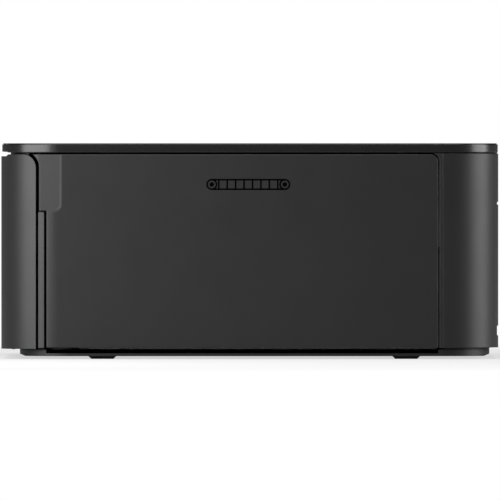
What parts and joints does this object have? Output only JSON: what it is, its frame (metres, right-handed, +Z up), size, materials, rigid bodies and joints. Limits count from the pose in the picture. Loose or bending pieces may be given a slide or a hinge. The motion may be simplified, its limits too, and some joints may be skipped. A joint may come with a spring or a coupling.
{
  "type": "compact photo printer",
  "caption": "Low photo printer with a drop-down front cover, a hinged ink door on the right side, a tilting screen and keys on the lid, and its roller, gear and ribbon drive inside.",
  "frame": {"origin": "centre of the footprint, on the surface that the printer stands on", "axes": "+Z up, the front cover faces -Y, the ink door is on the +X side"},
  "size_m": [0.1822, 0.133, 0.0576],
  "materials": {
    "base_plastic": "fine textured black moulded plastic",
    "foot_rubber": "matt black rubber",
    "case_plastic": "satin black plastic with a very fine grain",
    "frame_plastic": "plain dark grey moulded plastic",
    "lid_plastic": "satin black plastic with a fine grain",
    "sheet_steel": "zinc plated sheet steel",
    "shaft_steel": "ground steel",
    "bearing_plastic": "natural acetal",
    "motor_steel": "plated motor can",
    "circuit_board": "green solder resist",
    "component_plastic": "black component plastic",
    "socket_steel": "tin plated socket shells",
    "screw_steel": "dark plated screws",
    "screen_plastic": "gloss black bezel",
    "screen_glass": "dark display window",
    "button_plastic": "satin dark grey keys",
    "roller_rubber": "black roller rubber",
    "pinion_brass": "machined brass",
    "gear_plastic": "natural acetal gears",
    "head_aluminium": "extruded aluminium heat sink",
    "cassette_plastic": "dark grey cassette plastic",
    "film_plastic": "amber ink film"
  },
  "bodies": {
    "root": {"base_tray": "base_plastic", "rubber_feet": "foot_rubber", "outer_shell": "case_plastic", "rear_panel": "case_plastic", "front_frame": "frame_plastic", "top_cover": "lid_plastic", "chassis_plate_left": "sheet_steel", "chassis_plate_right": "sheet_steel", "cross_shafts": "shaft_steel", "roller_bearings": "bearing_plastic", "paper_bay": "frame_plastic", "paper_guide": "frame_plastic", "motor_bracket": "sheet_steel", "gear_posts": "shaft_steel", "feed_motor": "motor_steel", "ribbon_motor": "motor_steel", "fan_frame": "frame_plastic", "main_board": "circuit_board", "board_parts": "component_plastic", "card_socket": "socket_steel", "usb_a_socket": "socket_steel", "usb_c_socket": "socket_steel", "dc_jack": "component_plastic", "control_board": "circuit_board", "key_switches": "component_plastic", "case_screws": "screw_steel", "chassis_screws": "screw_steel", "front_cover_pins": "shaft_steel", "ink_door_pins": "shaft_steel", "door_hinge_bracket": "sheet_steel", "screen_pins": "shaft_steel"},
    "front_cover": {"front_cover": "case_plastic"},
    "ink_door": {"ink_door": "case_plastic"},
    "screen": {"screen_housing": "screen_plastic", "screen_glass": "screen_glass", "lcd_module": "component_plastic"},
    "ink_cassette": {"ink_cassette": "cassette_plastic", "ink_film": "film_plastic"},
    "power_button": {"power_button": "button_plastic"},
    "back_button": {"back_button": "button_plastic"},
    "menu_button": {"menu_button": "button_plastic"},
    "zoom_out_button": {"zoom_out_button": "button_plastic"},
    "zoom_in_button": {"zoom_in_button": "button_plastic"},
    "direction_pad": {"direction_pad": "button_plastic"},
    "print_button": {"print_button": "button_plastic"},
    "feed_roller": {"feed_roller": "shaft_steel"},
    "platen_roller": {"platen_roller": "roller_rubber"},
    "pinch_roller": {"pinch_roller": "roller_rubber"},
    "pickup_roller": {"pickup_roller": "roller_rubber"},
    "motor_pinion": {"motor_pinion": "pinion_brass"},
    "reduction_gear": {"reduction_gear": "gear_plastic"},
    "idler_gear_rear": {"idler_gear_rear": "gear_plastic"},
    "idler_gear_front": {"idler_gear_front": "gear_plastic"},
    "ribbon_drive": {"ribbon_drive": "gear_plastic"},
    "ribbon_pinion": {"ribbon_pinion": "pinion_brass"},
    "fan_rotor": {"fan_rotor": "frame_plastic"},
    "print_head": {"print_head": "head_aluminium"},
    "supply_spool": {"supply_spool": "film_plastic"},
    "take_up_spool": {"take_up_spool": "film_plastic"}
  },
  "joints": [
    {"name": "front_cover_hinge", "type": "hinge", "parent": "root", "child": "front_cover", "pos_m": [0, -0.0633, 0.004], "axis": [1, 0, 0], "range_deg": [0, 90]},
    {"name": "ink_door_hinge", "type": "hinge", "parent": "root", "child": "ink_door", "pos_m": [0.0883, 0.0443, 0.03], "axis": [0, 0, 1], "range_deg": [0, 90]},
    {"name": "screen_tilt", "type": "hinge", "parent": "root", "child": "screen", "pos_m": [-0.036, 0.0228, 0.0544], "axis": [-1, 0, 0], "range_deg": [0, 45]},
    {"name": "power_button_press", "type": "slide", "parent": "root", "child": "power_button", "axis": [0, 0, -1], "range_m": [0, 0.0005], "stiffness_N_per_m": 1500},
    {"name": "back_button_press", "type": "slide", "parent": "root", "child": "back_button", "axis": [0, 0, -1], "range_m": [0, 0.0005], "stiffness_N_per_m": 1500},
    {"name": "menu_button_press", "type": "slide", "parent": "root", "child": "menu_button", "axis": [0, 0, -1], "range_m": [0, 0.0005], "stiffness_N_per_m": 1500},
    {"name": "zoom_out_button_press", "type": "slide", "parent": "root", "child": "zoom_out_button", "axis": [0, 0, -1], "range_m": [0, 0.0005], "stiffness_N_per_m": 1500},
    {"name": "zoom_in_button_press", "type": "slide", "parent": "root", "child": "zoom_in_button", "axis": [0, 0, -1], "range_m": [0, 0.0005], "stiffness_N_per_m": 1500},
    {"name": "direction_pad_press", "type": "slide", "parent": "root", "child": "direction_pad", "axis": [0, 0, -1], "range_m": [0, 0.0005], "stiffness_N_per_m": 1500},
    {"name": "print_button_press", "type": "slide", "parent": "root", "child": "print_button", "axis": [0, 0, -1], "range_m": [0, 0.0005], "stiffness_N_per_m": 1500},
    {"name": "feed_roller_turn", "type": "hinge", "parent": "root", "child": "feed_roller", "pos_m": [0, 0.045, 0.023], "axis": [1, 0, 0], "continuous": true},
    {"name": "platen_roller_turn", "type": "hinge", "parent": "root", "child": "platen_roller", "pos_m": [0, 0, 0.022], "axis": [1, 0, 0], "continuous": true},
    {"name": "pinch_roller_turn", "type": "hinge", "parent": "root", "child": "pinch_roller", "pos_m": [0, 0.045, 0.0319], "axis": [1, 0, 0], "continuous": true},
    {"name": "pickup_roller_turn", "type": "hinge", "parent": "root", "child": "pickup_roller", "pos_m": [0, -0.0139, 0.0196], "axis": [1, 0, 0], "continuous": true},
    {"name": "motor_pinion_turn", "type": "hinge", "parent": "root", "child": "motor_pinion", "pos_m": [0, 0.04629, 0.02271], "axis": [1, 0, 0], "continuous": true},
    {"name": "reduction_gear_turn", "type": "hinge", "parent": "root", "child": "reduction_gear", "pos_m": [0, 0.04893, 0.03768], "axis": [1, 0, 0], "continuous": true},
    {"name": "idler_gear_rear_turn", "type": "hinge", "parent": "root", "child": "idler_gear_rear", "pos_m": [0, 0.0254, 0.023], "axis": [1, 0, 0], "continuous": true},
    {"name": "idler_gear_front_turn", "type": "hinge", "parent": "root", "child": "idler_gear_front", "pos_m": [0, 0.0054, 0.023], "axis": [1, 0, 0], "continuous": true},
    {"name": "ribbon_drive_turn", "type": "hinge", "parent": "root", "child": "ribbon_drive", "pos_m": [0, 0.028, 0.037], "axis": [1, 0, 0], "continuous": true},
    {"name": "ribbon_pinion_turn", "type": "hinge", "parent": "root", "child": "ribbon_pinion", "pos_m": [0, 0.01823, 0.03344], "axis": [1, 0, 0], "continuous": true},
    {"name": "fan_turn", "type": "hinge", "parent": "root", "child": "fan_rotor", "pos_m": [-0.085, 0.003, 0.027], "axis": [1, 0, 0], "continuous": true},
    {"name": "print_head_lower", "type": "hinge", "parent": "root", "child": "print_head", "pos_m": [0, -0.012, 0.0445], "axis": [-1, 0, 0], "range_deg": [0, 8]},
    {"name": "ink_cassette_release", "type": "slide", "parent": "root", "child": "ink_cassette", "axis": [1, 0, 0], "range_m": [0, 0.004]},
    {"name": "supply_spool_turn", "type": "hinge", "parent": "ink_cassette", "child": "supply_spool", "pos_m": [0, -0.032, 0.037], "axis": [1, 0, 0], "continuous": true},
    {"name": "take_up_spool_turn", "type": "hinge", "parent": "ink_cassette", "child": "take_up_spool", "pos_m": [0, 0.028, 0.037], "axis": [1, 0, 0], "continuous": true}
  ],
  "couplings": [
    {"joint": "idler_gear_rear_turn", "follows": "feed_roller_turn", "ratio": -0.96},
    {"joint": "idler_gear_front_turn", "follows": "feed_roller_turn", "ratio": 0.96},
    {"joint": "pickup_roller_turn", "follows": "feed_roller_turn", "ratio": -1},
    {"joint": "reduction_gear_turn", "follows": "feed_roller_turn", "ratio": -1.7143},
    {"joint": "motor_pinion_turn", "follows": "feed_roller_turn", "ratio": 3.7143},
    {"joint": "pinch_roller_turn", "follows": "feed_roller_turn", "ratio": -1.4286},
    {"joint": "ribbon_drive_turn", "follows": "take_up_spool_turn", "ratio": 1},
    {"joint": "ribbon_pinion_turn", "follows": "take_up_spool_turn", "ratio": -1.6},
    {"joint": "supply_spool_turn", "follows": "take_up_spool_turn", "ratio": 0.74026}
  ]
}
